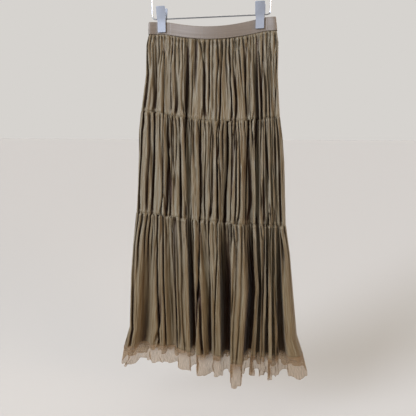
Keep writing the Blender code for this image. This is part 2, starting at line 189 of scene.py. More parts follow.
# Chrome over drawn wire is bright, and mirrors the room a little unevenly.
chromed_wire = drawn_metal("chromed steel wire", CHROME, 0.17, grain_mm=0.8, depth_mm=0.01)

frame_corners = (
    (-BAR_HALF, -BAR_DROP, BAR_CORNER),
    (BAR_HALF, -BAR_DROP, BAR_CORNER),
    (BAR_HALF, SHOULDER_RISE - BAR_DROP, SHOULDER_CORNER),
    (0.0, NECK_RISE - BAR_DROP, NECK_CORNER),
    (-BAR_HALF, SHOULDER_RISE - BAR_DROP, SHOULDER_CORNER),
)
frame_path = rounded_loop(frame_corners, steps=14)
show(wire("hanger_frame_wire", frame_path, WIRE_RADIUS, True), chromed_wire, "chromed_wire",
     "hanger_frame")

ferrule_foot = max(z for _, z in frame_path) + WIRE_RADIUS + SOLID_GAP
turned = bmesh.new()
rings = [turned.verts.new((FERRULE_RADIUS * out, 0.0, ferrule_foot + FERRULE_HEIGHT * up))
         for out, up in FERRULE_OUTLINE]
for low, high in zip(rings, rings[1:]):
    turned.edges.new((low, high))
bmesh.ops.spin(turned, geom=turned.verts[:] + turned.edges[:], axis=(0, 0, 1), cent=(0, 0, 0),
               angle=math.tau, steps=40, use_merge=True)
bmesh.ops.remove_doubles(turned, verts=turned.verts[:], dist=0.00001)
bmesh.ops.recalc_face_normals(turned, faces=turned.faces[:])
ferrule = object_from("hanger_neck_ferrule", turned)
ferrule.data.shade_smooth()
show(ferrule, chromed_wire, "chromed_wire", "hanger_neck")

hook_radius = HOOK_INNER_RADIUS + WIRE_RADIUS
stem_foot = ferrule_foot + FERRULE_HEIGHT + SOLID_GAP
stem_top = stem_foot + STEM_HEIGHT
bend_top = stem_top + STEM_BEND
pulls = np.array(((0.0, stem_top), (0.0, bend_top), (hook_radius, bend_top),
                  (hook_radius, -HOOK_INNER_RADIUS)))
onward = np.linspace(0.0, 1.0, 21)[1:-1, None]
sweep = ((1 - onward) ** 3 * pulls[0] + 3 * onward * (1 - onward) ** 2 * pulls[1]
         + 3 * onward ** 2 * (1 - onward) * pulls[2] + onward ** 3 * pulls[3])
turn = arc((0.0, -HOOK_INNER_RADIUS), hook_radius, 0.0, HOOK_TURN, steps=60)
hook_path = [(0.0, stem_foot), (0.0, stem_top), *map(tuple, sweep), *turn]
tip_reach = np.cumsum([0.0] + [math.dist(a, b) for a, b in zip(hook_path, hook_path[1:])])
from_tip = np.clip((tip_reach[-1] - tip_reach) / WIRE_RADIUS, 0.0, 1.0)
hook_thickness = np.sqrt(1.0 - TIP_TAPER * (1.0 - from_tip) ** 2)
show(wire("hanger_hook_wire", hook_path, WIRE_RADIUS, False, hook_thickness), chromed_wire,
     "chromed_wire", "hanger_hook")


# Clips ------------------------------------------------------------------------------------------
# Each clip is two plates stamped from 1.2 mm steel, bent out to finger pads at the top and plated
# with satin nickel. A coil spring round the bar closes them, and ribbed rubber pads line the jaws.

CLIP_X = 0.117
CLIP_TOP = 0.027
CLIP_BOTTOM = -0.031
HANDLE_WIDTH = 0.022
JAW_WIDTH = 0.0195
PLATE = 0.0012
PLATE_ROUND = 0.0016
PLATE_EDGE = 0.0002
PLATE_ROWS = 59
DISH_FROM = 0.002
DISH_TO = 0.012
DISH_DEPTH = 0.0005
PAD_SIZE = (0.0165, 0.0015, 0.017)
PAD_Z = -0.0205
PAD_RIBS = 9
PAD_GROOVE = 0.00035
PAD_EDGE = 0.0001
EAR_REACH = 0.0030
EAR_INSET = {-1: 0.0010, 1: 0.0026}
EAR_RADIUS = 0.0042
SPRING_RADIUS = 0.0033
SPRING_WIRE = 0.0005
SPRING_LENGTH = 0.0115
SPRING_TURNS = 9
LIP_TEETH = 9
TOOTH_HEIGHT = 0.0005
BAND_GRIP = 0.00115
BAND_THICKNESS = 0.0020
# Each bend of a plate from the jaw up: how far it stands out, its height and the plate's width.
PLATE_BENDS = (
    (0.0007, CLIP_BOTTOM, JAW_WIDTH),
    (0.0000, CLIP_BOTTOM + 0.0025, JAW_WIDTH),
    (0.0000, -0.0080, JAW_WIDTH),
    (0.0006, -0.0030, JAW_WIDTH),
    (0.0014, 0.0010, HANDLE_WIDTH),
    (0.0076, CLIP_TOP - 0.0020, HANDLE_WIDTH),
    (0.0082, CLIP_TOP, HANDLE_WIDTH),
)
EAR_ROW = 4
FACES = (("front", -1), ("back", 1))
SATIN_NICKEL = "#858a93"
SPRING_STEEL = "#9a9da3"
GRIP_RUBBER = "#c9c9c6"
RUBBER_IN_PORES = "#bdbdba"

# Satin nickel over blasted steel is dull and grey. The spring's drawn wire is left bright.
satin_nickel = drawn_metal("satin nickel plate", SATIN_NICKEL, 0.65, grain_mm=0.5, depth_mm=0.02)
spring_steel = drawn_metal("bright spring steel", SPRING_STEEL, 0.28, grain_mm=0.4, depth_mm=0.01)

# Moulded rubber is matt, and a little darker in its pores.
grip_rubber = start_material("moulded grip rubber")
rubber_place = add_node(grip_rubber, "ShaderNodeTexCoord", {}, {})
rubber_pores = add_node(grip_rubber, "ShaderNodeTexNoise", {}, {
    "Vector": rubber_place.outputs["Object"], "Scale": 1000.0 / 0.6, "Detail": 4.0})
rubber_tone = add_node(grip_rubber, "ShaderNodeMix", {"data_type": "RGBA"}, {
    0: rubber_pores.outputs["Fac"], 6: linear(RUBBER_IN_PORES), 7: linear(GRIP_RUBBER)})
rubber_bump = add_node(grip_rubber, "ShaderNodeBump", {}, {
    "Height": rubber_pores.outputs["Fac"], "Strength": 0.5, "Distance": 0.00005})
rubber_shader = add_node(grip_rubber, "ShaderNodeBsdfPrincipled", {}, {
    "Base Color": rubber_tone.outputs[2], "Roughness": 0.8,
    "Normal": rubber_bump.outputs["Normal"]})
finish_material(grip_rubber, rubber_shader)


def evened(values, reach):
    """Each value averaged with its neighbours on both sides."""
    window = 2 * reach + 1
    return np.convolve(np.pad(values, reach, mode="edge"), np.full(window, 1.0 / window),
                       mode="valid")


def plate_sheet(x, side):
    """One plate's bent sheet with rounded corners and a toothed lip, and its two ears."""
    jaw = BAND_GRIP + 0.5 * BAND_THICKNESS + 2 * SOLID_GAP + PAD_SIZE[1] + 0.5 * PLATE
    bends = np.array(PLATE_BENDS)
    heights = np.linspace(CLIP_BOTTOM, CLIP_TOP, PLATE_ROWS)
    outs = evened(np.interp(heights, bends[:, 1], bends[:, 0]), 2)
    from_end = np.minimum(heights - CLIP_BOTTOM, CLIP_TOP - heights)
    short = np.clip(PLATE_ROUND - from_end, 0.0, PLATE_ROUND)
    corner = PLATE_ROUND - np.sqrt(PLATE_ROUND ** 2 - short ** 2)
    widths = np.interp(heights, bends[:, 1], bends[:, 2]) - 2 * corner
    sheet = bmesh.new()
    bmesh.ops.create_grid(sheet, x_segments=4 * LIP_TEETH, y_segments=PLATE_ROWS - 1, size=1.0)
    for vertex in sheet.verts:
        across, row = vertex.co.x, round(0.5 * (vertex.co.y + 1.0) * (PLATE_ROWS - 1))
        tooth = TOOTH_HEIGHT * abs(math.sin(0.5 * math.pi * LIP_TEETH * (across + 1.0)))
        lift = tooth if row == 0 else 0.0
        dish = np.interp(heights[row], (DISH_FROM, DISH_TO), (0.0, DISH_DEPTH)) * across ** 2
        vertex.co = Vector((x + 0.5 * widths[row] * across, side * (jaw + outs[row] - dish),
                            heights[row] + lift - BAR_DROP))
    root = jaw + PLATE_BENDS[EAR_ROW][0] - 0.3 * PLATE
    for hand in (-1, 1):
        face = x + hand * (0.5 * HANDLE_WIDTH - EAR_INSET[side] - 0.5 * PLATE)
        round_end = [(EAR_REACH * -math.cos(a), EAR_RADIUS * math.sin(a))
                     for a in np.linspace(-0.5 * math.pi, 0.5 * math.pi, 13)]
        outline = [(root, -EAR_RADIUS), *round_end, (root, EAR_RADIUS)]
        sheet.faces.new([sheet.verts.new((face, side * out, up - BAR_DROP)) for out, up in outline])
    return sheet


def ribbed_pad(x, side):
    """A rubber slab with ribs along the face that grips the band."""
    width, thick, tall = PAD_SIZE
    inner = BAND_GRIP + 0.5 * BAND_THICKNESS + SOLID_GAP
    slab = bmesh.new()
    bmesh.ops.create_grid(slab, x_segments=6, y_segments=4 * PAD_RIBS, size=1.0)
    for vertex in slab.verts:
        across, up = vertex.co.x, vertex.co.y
        groove = PAD_GROOVE * math.sin(0.5 * math.pi * PAD_RIBS * (up + 1.0)) ** 2
        vertex.co = Vector((x + 0.5 * width * across, side * (inner + groove),
                            PAD_Z - BAR_DROP + 0.5 * tall * up))
    back = bmesh.ops.extrude_face_region(slab, geom=slab.faces[:])
    moved = [item for item in back["geom"] if isinstance(item, bmesh.types.BMVert)]
    for vertex in moved:
        vertex.co.y = side * (inner + thick)
    bmesh.ops.recalc_face_normals(slab, faces=slab.faces[:])
    return slab


def rounded_object(name, shape, width, thickness=0.0):
    """An object from a bmesh, thickened if it is a sheet, with its sharp edges rounded."""
    made = object_from(name, shape)
    if thickness:
        stamped = made.modifiers.new("sheet metal", "SOLIDIFY")
        stamped.thickness = thickness
        stamped.offset = 0.0
    edge = made.modifiers.new("rounded edges", "BEVEL")
    edge.width = width
    edge.segments = 2
    edge.limit_method = "ANGLE"
    edge.angle_limit = math.radians(50.0)
    return made


for hand, clip_x in (("left", -CLIP_X), ("right", CLIP_X)):
    for face, side in FACES:
        plate = rounded_object(f"clip_{hand}_{face}_stamping", plate_sheet(clip_x, side),
                               PLATE_EDGE, PLATE)
        show(plate, satin_nickel, "satin_nickel", f"clip_{hand}_plate_{face}")
        pad = rounded_object(f"clip_{hand}_{face}_grip", ribbed_pad(clip_x, side), PAD_EDGE)
        show(pad, grip_rubber, "grip_rubber", f"clip_{hand}_pad_{face}")
    coil_angles = np.linspace(0.0, SPRING_TURNS * math.tau, 20 * SPRING_TURNS + 1)
    coil_span = SPRING_LENGTH - 2 * SPRING_WIRE
    coil_x = clip_x + coil_span * (np.linspace(0.0, 1.0, len(coil_angles)) - 0.5)
    coil_radius = SPRING_RADIUS - SPRING_WIRE
    coil = list(zip(coil_x, coil_radius * np.cos(coil_angles),
                    coil_radius * np.sin(coil_angles) - BAR_DROP))
    show(wire(f"clip_{hand}_coil_spring", coil, SPRING_WIRE, False), spring_steel, "spring_steel",
         f"clip_{hand}_spring")


# Elastic waistband ------------------------------------------------------------------------------
# A flat satin-faced elastic, 29 mm wide, sewn into a ring and stretched a little by the clips. It
# sags between them, and its weave of fine ribs across and along gives it a dull sheen. Streaks of
# sheen and shade are painted into its colour along it.

SEAM_GAP = 0.00036
SIDE_CLEARANCE = 0.00004
BAND_OPEN = 0.0065
GRIP_INNER = 0.1045
GRIP_OUTER = 0.1295
PINCH_FROM = 0.037
PINCH_TO = 0.130
END_ROUND = 0.5
SAG_POWER = 1.4
BAND_HEIGHT = 0.029
BAND_COLUMNS = 560
BAND_ROWS = 22
BAND_ROLL = 3
LEAST_ROW_STEP = 0.0001
BAND_PUCKER = 0.0045
BAND_SLACK = 0.00005
BAND_EDGE_WAVE = 0.00012
BAND_CROWN = 0.0006
BAND_RIDGE = 0.00008
PRESSED_FLAT = 0.0013
INSIDE_CLEARANCE = 0.0002
ELASTIC_SATIN = "#655c53"
# Painted shade along the band's streaks.
ELASTIC_SHADE = "#483f36"

# Half widths to the left and right, depths at the front, back and side folds, by drop from the bar.
SECTION_COLUMNS = ("drop", "left", "right", "front", "back", "side")
SECTIONS = (
    (0.006, 0.1490, 0.1520, 0.0077, 0.0077, 0.0040),
    (0.036, 0.1505, 0.1560, 0.0085, 0.0085, 0.0045),
    (0.060, 0.1560, 0.1605, 0.0180, 0.0150, 0.0090),
    (0.130, 0.1590, 0.1610, 0.0250, 0.0200, 0.0130),
    (0.222, 0.1735, 0.1685, 0.0300, 0.0250, 0.0160),
    (0.270, 0.1805, 0.1760, 0.0350, 0.0290, 0.0185),
    (0.330, 0.1825, 0.1820, 0.0380, 0.0310, 0.0200),
    (0.420, 0.1875, 0.1870, 0.0420, 0.0340, 0.0220),
    (0.479, 0.1925, 0.1900, 0.0440, 0.0360, 0.0235),
    (0.560, 0.2040, 0.2030, 0.0500, 0.0410, 0.0260),
    (0.640, 0.2125, 0.2115, 0.0530, 0.0440, 0.0280),
    (0.780, 0.2210, 0.2270, 0.0560, 0.0490, 0.0310),
    (0.828, 0.2370, 0.2425, 0.0580, 0.0510, 0.0320),
    (0.880, 0.2465, 0.2575, 0.0620, 0.0540, 0.0330),
)
# Each edge or seam: its drop from the bar, its sag, the middle and half span of that sag, how far
# it tips down towards +X, and how much of each fold's own drop it takes.
LINE_COLUMNS = ("drop", "sag", "sag_x", "sag_span", "tip", "hang")
LINES = {
    "waist_top": (0.0060, 0.0160, 0.008, 0.125, 0.000, 0.0),
    "waist_seam": (0.0350, 0.0155, 0.008, 0.128, 0.001, 0.0),
    "seam_1": (0.2215, 0.0170, 0.015, 0.160, 0.006, 0.0),
    "seam_2": (0.4790, 0.0010, 0.000, 0.180, 0.008, 0.0),
    "frill_seam": (0.8280, 0.0000, 0.000, 0.200, -0.002, 0.5),
    "hem": (0.8800, 0.0000, 0.000, 0.200, 0.000, 1.0),
}
# The large folds from -X to +X, in millimetres: the valley on each fold's +X side at five levels,
# its cut at four of them, and how far the fold stands out and hangs lower at the hem.
FOLD_DROPS = (0.035, 0.2215, 0.479, 0.650, 0.880)
CUT_DROPS = (0.2215, 0.479, 0.650, 0.880)
FRONT_FOLDS = (
    (-129.5, -136, -146, -162, -184, 5, 8, 22, 42, 0, 15),
    (-104.5, -102, -102, -98, -90, 8, 10, 24, 35, -15, -8),
    (-78.0, -75, -66, -62, -57, 4, 5, 9, 12, -14, -1),
    (-55.0, -52, -46, -44, -38, 12, 14, 44, 48, -7, 0),
    (-15.0, -19, -14, 3, 11, 5, 8, 14, 18, 0, 4),
    (35.0, 46, 43, 45, 50, 7, 10, 38, 42, 0, 1),
    (80.0, 95, 108, 121, 107, 5, 9, 42, 50, 27, 14),
    (104.5, 116, 121, 132, 129, 11, 13, 20, 26, -2, -7),
    (129.5, 138, 149, 153, 155, 4, 6, 25, 24, 3, -4),
    (137.0, 146, 159, 163, 172, 3, 5, 9, 12, 12, -2),
    (142.0, 154, 170, 175, 190, 4, 6, 32, 36, 0, -6),
    (None, None, None, None, None, 0, 0, 0, 0, 0, 2),
)
BACK_FOLDS = (
    (-129.5, -141, -157, -177, -205, 5, 7, 8, 8, 0, 15),
    (-104.5, -112, -122, -130, -140, 9, 11, 14, 18, 5, 0),
    (-80.0, -84, -87, -92, -98, 4, 6, 12, 20, 8, -4),
    (-52.0, -57, -52, -56, -61, 7, 9, 16, 26, 0, 3),
    (-24.0, -22, -24, -23, -22, 5, 7, 11, 16, -6, -2),
    (8.0, 6, 12, 14, 17, 10, 12, 20, 30, 10, 8),
    (44.0, 41, 38, 44, 52, 4, 6, 9, 14, -4, 0),
    (75.0, 76, 80, 83, 86, 8, 10, 18, 28, 6, -5),
    (104.5, 110, 115, 122, 131, 5, 8, 13, 20, 0, 4),
    (129.5, 136, 145, 155, 168, 7, 9, 16, 26, 9, 0),
    (140.0, 152, 166, 183, 205, 4, 6, 11, 18, -3, -6),
    (None, None, None, None, None, 0, 0, 0, 0, 0, 2),
)
# How sharply the large valleys are pinched and how far their sides overhang, by drop.
PINCHES = ((0.0, 2.4, 0.14), (0.48, 2.4, 0.12), (0.65, 3.0, 0.10), (0.88, 2.6, 0.08))
# The side seams, in places along the folds: one beyond the end folds each way.
SIDE_SEAMS = (-1.0, 2.0 * len(FRONT_FOLDS) - 1.0)


def smooth(value):
    """A smooth step from 0 to 1."""
    value = np.clip(value, 0.0, 1.0)
    return value * value * (3.0 - 2.0 * value)


def line_named(name):
    """One edge or seam's values by name."""
    return dict(zip(LINE_COLUMNS, LINES[name]))


def section_at(drops):
    """The section table at each row's drop, as columns that broadcast across the rows."""
    table = np.array(SECTIONS)
    return {name: np.interp(drops, table[:, 0], table[:, at])[:, None]
            for at, name in enumerate(SECTION_COLUMNS)}


def envelope(x, drops, section, side):
    """How far the crests stand from the middle plane, and how freely the cloth folds there."""
    depth = section["front"] if side < 0 else section["back"]
    reach = np.where(x < 0, section["left"], section["right"]) - END_ROUND * section["side"]
    lens = section["side"] + (depth - section["side"]) * (1.0 - (x / reach) ** 2)
    across = np.abs(x)
    middle = BAND_GRIP + BAND_OPEN * np.clip(1.0 - (across / GRIP_INNER) ** 2, 0.0, None) ** 2
    ends = BAND_GRIP + (section["side"] - BAND_GRIP) * smooth(
        (across - GRIP_OUTER) / (reach - GRIP_OUTER))
    pinch = 1.0 - smooth((drops[:, None] - PINCH_FROM) / (PINCH_TO - PINCH_FROM))
    gripped = np.where(across < GRIP_INNER, middle, ends)
    return pinch * gripped + (1.0 - pinch) * lens, 1.0 - pinch


def down_the_skirt(drops, levels, values):
    """Table values given at some drops, in millimetres, spread over a panel's rows in metres."""
    return np.array([np.interp(drops, levels, row) for row in values]).T / 1000.0


def hang(drops, side, place, swell):
    """Where a panel's rows hang: x, distance from the middle plane and own drop at each place.

    The last two say how deep each place lies in a large fold, and its x without the overhang.
    place counts along the folds: even numbers are crests and odd ones valleys, from 0 at the left
    end to 22 at the right, and one more each way goes round the side fold to the side seam.
    """
    folds = np.array(FRONT_FOLDS if side < 0 else BACK_FOLDS, dtype=float)
    section = section_at(drops)
    left_end = -(section["left"] - END_ROUND * section["side"])
    right_end = section["right"] - END_ROUND * section["side"]
    valleys = down_the_skirt(drops, FOLD_DROPS, folds[:-1, :5])
    cuts = down_the_skirt(drops, CUT_DROPS, folds[:-1, 5:9])
    stands = down_the_skirt(drops, (CUT_DROPS[0], CUT_DROPS[-1]), [(0.0, row[9]) for row in folds])
    knots = 2 * len(folds) - 1
    knot_x, inward = np.empty((len(drops), knots)), np.empty((len(drops), knots))
    knot_x[:, 1::2] = valleys
    knot_x[:, 0:1], knot_x[:, -1:] = left_end, right_end
    knot_x[:, 2:-1:2] = 0.5 * (valleys[:, 1:] + valleys[:, :-1])
    inward[:, 0::2], inward[:, 1::2] = -stands, cuts
    own = np.empty(knots)
    own[0::2] = folds[:, 10] / 1000.0
    own[1::2] = 0.5 * (own[0:-1:2] + own[2::2])

    within = np.clip(place, 0.0, knots - 1.0)
    span = np.minimum(within.astype(int), knots - 2)
    share = within - span
    falling = span % 2 == 0
    to_valley = np.where(falling, share, 1.0 - share)
    crest, valley = span + ~falling, span + falling
    pinches = np.array(PINCHES)
    narrow = np.interp(drops, pinches[:, 0], pinches[:, 1])[:, None]
    overhang = np.interp(drops, pinches[:, 0], pinches[:, 2])[:, None]
    dip = (0.5 - 0.5 * np.cos(math.pi * to_valley)) ** narrow
    fall = inward[:, valley] - inward[:, crest]
    lean = np.where(falling, -1.0, 1.0) * np.sin(math.tau * (1.0 - to_valley))
    level_x = knot_x[:, span] + share * (knot_x[:, span + 1] - knot_x[:, span])
    depth, loose = envelope(level_x, drops, section, side)
    x = level_x + lean * overhang * fall * loose
    y = depth - (inward[:, crest] + fall * dip) * loose * swell[:, None]
    own_drop = own[span] + smooth(share) * (own[span + 1] - own[span])

    turn = 0.5 * math.pi * (np.clip(-place, 0.0, 1.0) + np.clip(place - knots + 1.0, 0.0, 1.0))
    outward = np.where(place < 0.0, -1.0, 1.0) * END_ROUND * section["side"] * np.sin(turn)
    x = x + outward
    y = np.maximum(y * np.cos(turn), SIDE_CLEARANCE)
    return x, y, np.broadcast_to(own_drop, x.shape), fall * dip * loose, level_x


def line_height(line, x, own_drop):
    """The height of an edge or seam at each x."""
    from_middle = (x - line["sag_x"]) / line["sag_span"]
    sag = line["sag"] * np.clip(1.0 - from_middle ** 2, 0.0, None) ** SAG_POWER
    return -BAR_DROP - line["drop"] - sag - line["tip"] * x / BAR_HALF - line["hang"] * own_drop


def edge_heights(top, bottom, x, own_drop):
    """The heights of a panel's upper and lower edges, each half a seam's gap inside its line."""
    return (line_height(top, x, own_drop) - 0.5 * SEAM_GAP,
            line_height(bottom, x, own_drop) + 0.5 * SEAM_GAP)


def run_lengths(x, y):
    """The length along each row from its left end."""
    steps = np.hypot(np.diff(x, axis=1), np.diff(y, axis=1))
    return np.concatenate((np.zeros((len(x), 1)), np.cumsum(steps, axis=1)), axis=1)


def even_places(top, bottom, side, columns):
    """Places along the folds that share a panel's cloth out evenly, on average down the panel."""
    dense = np.linspace(*SIDE_SEAMS, 6001)
    drops = np.linspace(top["drop"], bottom["drop"], 6)
    x, y, *_ = hang(drops, side, dense, np.ones(len(drops)))
    lengths = run_lengths(x, y)
    shares = np.mean(lengths / lengths[:, -1:], axis=0)
    return np.interp(np.linspace(0.0, 1.0, columns), shares, dense)


def row_normals(x, y):
    """The direction along each row, and the outward direction square to it."""
    along_x, along_y = np.gradient(x, axis=1), np.gradient(y, axis=1)
    size = np.maximum(np.hypot(along_x, along_y), 1e-9)
    return along_x / size, along_y / size


def cloth_piece(name, points, cloth_u, cloth_v, flip, depth=None):
    """An object from a grid of points, rows from the top down, mapped in metres of flat cloth.

    depth, where given, is kept at each point as how deep in a gather it lies; the cloth's material
    paints shade into its colour by it.
    """
    if flip:
        points, cloth_u, cloth_v = points[:, ::-1], cloth_u[:, ::-1], cloth_v[:, ::-1]
        depth = None if depth is None else depth[:, ::-1]
    rows, columns = points.shape[:2]
    grid = bmesh.new()
    grid.loops.layers.uv.new("cloth")
    bmesh.ops.create_grid(grid, x_segments=columns - 1, y_segments=rows - 1, size=1.0)
    piece = object_from(name, grid)
    mesh = piece.data
    mesh.vertices.foreach_set("co", points[::-1].astype(np.float32).ravel())
    corners = np.empty(len(mesh.loops), dtype=np.int32)
    mesh.loops.foreach_get("vertex_index", corners)
    flat = np.stack((cloth_u[::-1].ravel(), cloth_v[::-1].ravel()), axis=1)
    mesh.uv_layers["cloth"].data.foreach_set("uv", flat[corners].astype(np.float32).ravel())
    if depth is not None:
        attribute = mesh.attributes.new("gather depth", "FLOAT", "POINT")
        attribute.data.foreach_set("value", depth[::-1].astype(np.float32).ravel())
    mesh.shade_smooth()
    mesh.update()
    return piece


def wander(draw, rows, knots, size):
    """A slow random drift down the rows, within plus or minus size."""
    marks = draw.uniform(-size, size, knots)
    at = np.linspace(0.0, knots - 1.0, rows)
    low = np.minimum(at.astype(int), knots - 2)
    share = smooth(at - low)
    return marks[low] + share * (marks[low + 1] - marks[low])


def band_surface(side):
    """The band as one sheet that goes down its face, round its lower edge and up its inside."""
    top, bottom = line_named("waist_top"), line_named("waist_seam")
    place = even_places(top, bottom, side, BAND_COLUMNS)
    down = np.linspace(0.0, 1.0, BAND_ROWS)
    roll = 0.5 - 0.5 * np.cos(np.linspace(0.0, math.pi, BAND_ROLL + 2))[1:-1]
    share = np.concatenate((down, np.ones(BAND_ROLL), down[::-1], np.zeros(BAND_ROLL), down[:1]))
    inside = np.concatenate((np.zeros(BAND_ROWS), roll, np.ones(BAND_ROWS), 1.0 - roll, [0.0]))
    drops = top["drop"] + share * (bottom["drop"] - top["drop"])
    x, y, own_drop, *_ = hang(drops, side, place, np.ones(len(drops)))
    high, low = edge_heights(top, bottom, x, own_drop)
    along_x, along_y = row_normals(x, y)
    run = run_lengths(x, y)
    draw = np.random.default_rng(31 if side < 0 else 32)
    pucker = np.zeros(len(place))
    for wave in range(1, 5):
        turns = run[0] / (BAND_PUCKER * (0.6 + 0.45 * wave))
        pucker += np.sin(math.tau * turns + draw.uniform(0.0, math.tau)) / (1.0 + 0.3 * wave)
    from_middle = 2.0 * share[:, None] - 1.0
    slack = BAND_SLACK * pucker * (0.35 + 0.65 * from_middle ** 2)
    crown = BAND_CROWN * np.sin(math.pi * share) - BAND_RIDGE * np.cos(5 * math.pi * share)
    freedom = np.where(y > PRESSED_FLAT, 1.0, 0.25)
    out = freedom * (slack + crown[:, None]) + BAND_THICKNESS * (0.5 - inside)[:, None]
    out = np.where(inside[:, None] > 0.5, np.maximum(out, INSIDE_CLEARANCE - y), out)
    height = high + share[:, None] * (low - high) + BAND_EDGE_WAVE * pucker * from_middle
    points = np.stack((x - along_y * out, side * (y + along_x * out), height), axis=2)
    steps_down = np.abs(np.diff(share)) * BAND_HEIGHT + LEAST_ROW_STEP
    cloth_v = np.cumsum(np.concatenate(([0.0], steps_down)))
    return points, run, np.broadcast_to(-cloth_v[:, None], x.shape)


def woven_cloth(name):
    """A cloth material, and a node that gives the flat cloth's own metres."""
    material = start_material(name)
    return material, add_node(material, "ShaderNodeUVMap", {"uv_map": "cloth"}, {})


def marks_on(material, flat, along_mm, down_mm, detail, roughness=0.5):
    """Uneven marks of a real size on the flat cloth: their length along it and down it."""
    scaled = add_node(material, "ShaderNodeMapping", {}, {
        "Vector": flat.outputs["UV"], "Scale": (1000.0 / along_mm, 1000.0 / down_mm, 1.0)})
    return add_node(material, "ShaderNodeTexNoise", {}, {
        "Vector": scaled.outputs["Vector"], "Scale": 1.0, "Detail": detail,
        "Roughness": roughness})


# Polyester satin on elastic: floats along the band shine, ribs of rubber lie across it. Streaks of
# sheen and shade are painted into its colour, lighter where the streak bump rises, darker where it
# falls.
elastic_ribbon, elastic_flat = woven_cloth("satin-faced woven elastic")
streaks = marks_on(elastic_ribbon, elastic_flat, 90.0, 3.5, detail=3.0, roughness=0.6)
ribs = marks_on(elastic_ribbon, elastic_flat, 1.6, 5.0, detail=2.0)
# Painted sheen and shade: the colour runs from the shade tone to the satin tone with the streaks
# that also make the bump.
elastic_tone = add_node(elastic_ribbon, "ShaderNodeMix", {"data_type": "RGBA"}, {
    0: streaks.outputs["Fac"], 6: linear(ELASTIC_SHADE), 7: linear(ELASTIC_SATIN)})
elastic_height = add_node(elastic_ribbon, "ShaderNodeMath", {"operation": "ADD"}, {
    0: streaks.outputs["Fac"], 1: ribs.outputs["Fac"]})
elastic_bump = add_node(elastic_ribbon, "ShaderNodeBump", {}, {
    "Height": elastic_height.outputs["Value"], "Strength": 0.5, "Distance": 0.00018})
elastic_shader = add_node(elastic_ribbon, "ShaderNodeBsdfPrincipled", {}, {
    "Base Color": elastic_tone.outputs[2], "Roughness": 0.48, "Specular IOR Level": 0.45,
    "Sheen Weight": 0.15, "Sheen Roughness": 0.4, "Normal": elastic_bump.outputs["Normal"]})
finish_material(elastic_ribbon, elastic_shader)

for half, side in FACES:
    band = cloth_piece(f"waistband_{half}_elastic", *band_surface(side), side > 0)
    closed = bmesh.new()
    closed.from_mesh(band.data)
    bmesh.ops.remove_doubles(closed, verts=closed.verts[:], dist=0.000001)
    bmesh.ops.holes_fill(closed, edges=closed.edges[:])
    closed.to_mesh(band.data)
    closed.free()
    show(band, elastic_ribbon, "elastic_ribbon", f"waistband_{half}")


# Gathered tiers ---------------------------------------------------------------------------------
# Three rings of crinkled satin georgette, each cut a third to a half longer than the one above and
# gathered into its seam. The gathers run together into deeper folds as they hang.

GEORGETTE = "#6f695a"
# Painted shade in the fine creases, and the darker tone of the random dye bands.
GEORGETTE_SHADE_AND_DYE = "#53442a"
# Painted shade: a near-black brown for the deep gathers and the large folds' recesses.
GEORGETTE_PAINTED_SHADE = "#2e1803"
# Painted warm shade, multiplied into the colour towards the hem.
GEORGETTE_HEM_SHADE = "#eee1ca"
GEORGETTE_THROUGH = "#7c5526"
SEAM_BLEND = 0.008
BLEND_LEAD = 0.002
SEAM_NOTCH = 0.0011
NOTCH_REACH = 0.0022
SEAM_PUFF = 0.0012
PUFF_REACH = 0.004
PUFF_BELOW_SEAM = 0.006
PUFF_ABOVE_SEAM = 0.005
SEAM_TUCK = 0.0012
TUCK_DEPTH = 0.0005
TUCK_REACH = 0.0018
PLEAT_DEPTH = 0.95
DEEPEST_PLEAT = 0.0125
WIDEST_VALLEY = 0.0085
PLEAT_POWER = 0.55
PLEAT_SHARPNESS = 1.7
PLEAT_STRENGTH = 0.85
PLEAT_WANDER = 0.36
PLEAT_FAN = 3.0
PLEAT_SIZES = (0.35, 1.6)
PLEAT_OVERHANG = 0.16
DEEP_OVERHANG = 0.12
CREASE_OVERHANG = 0.1
CREASES_PER_PLEAT = 12
CREASE_WIDTH = 0.0055
CREASE_DEPTH = 0.0016
CREASE_WANDER = 0.0025
GATHER_WIDTH = 0.0042
GATHER_DEPTH = 0.0020
GATHER_LENGTH = 0.05
ROW_CROWDING = 0.09
SIDE_EASE = 0.6
UNDER_BAND = 0.0002
LEAST_CLEARANCE = 0.0014
# The shade painted into the gathers: how much of a large fold's depth counts, and the depths where
# it starts and where it is fullest.
RECESS_SHADE = 0.25
PAINTED_SHADE_FROM = 0.0030
PAINTED_SHADE_FULL_AT = 0.012
# Where the warm shade painted towards the hem starts and where it is fullest, in metres of height.
BROWNER_FROM = -0.62
BROWNEST_AT = -0.95

# Each tier: its seams, the half ring's cut width, columns and rows, how much deeper its large
# folds are halfway down, its gathers and pleats across, the share of its pleats that reach its
# lower seam, how much those pleats fade on the way, and how far the cloth lifts at its top.
TIER_COLUMNS = ("top", "bottom", "cut", "columns", "rows", "swell", "gathers", "pleats", "keep",
                "fade", "lift")
TIERS = {
    "tier_1": ("waist_seam", "seam_1", 0.70, 620, 44, 0.3, 110, 36, 0.6, 0.25, 0.0032),
    "tier_2": ("seam_1", "seam_2", 1.05, 760, 56, 0.4, 125, 46, 0.6, 0.0, 0.0010),
    "tier_3": ("seam_2", "frill_seam", 1.36, 950, 76, 0.2, 150, 58, 0.45, 0.55, 0.0010),
}
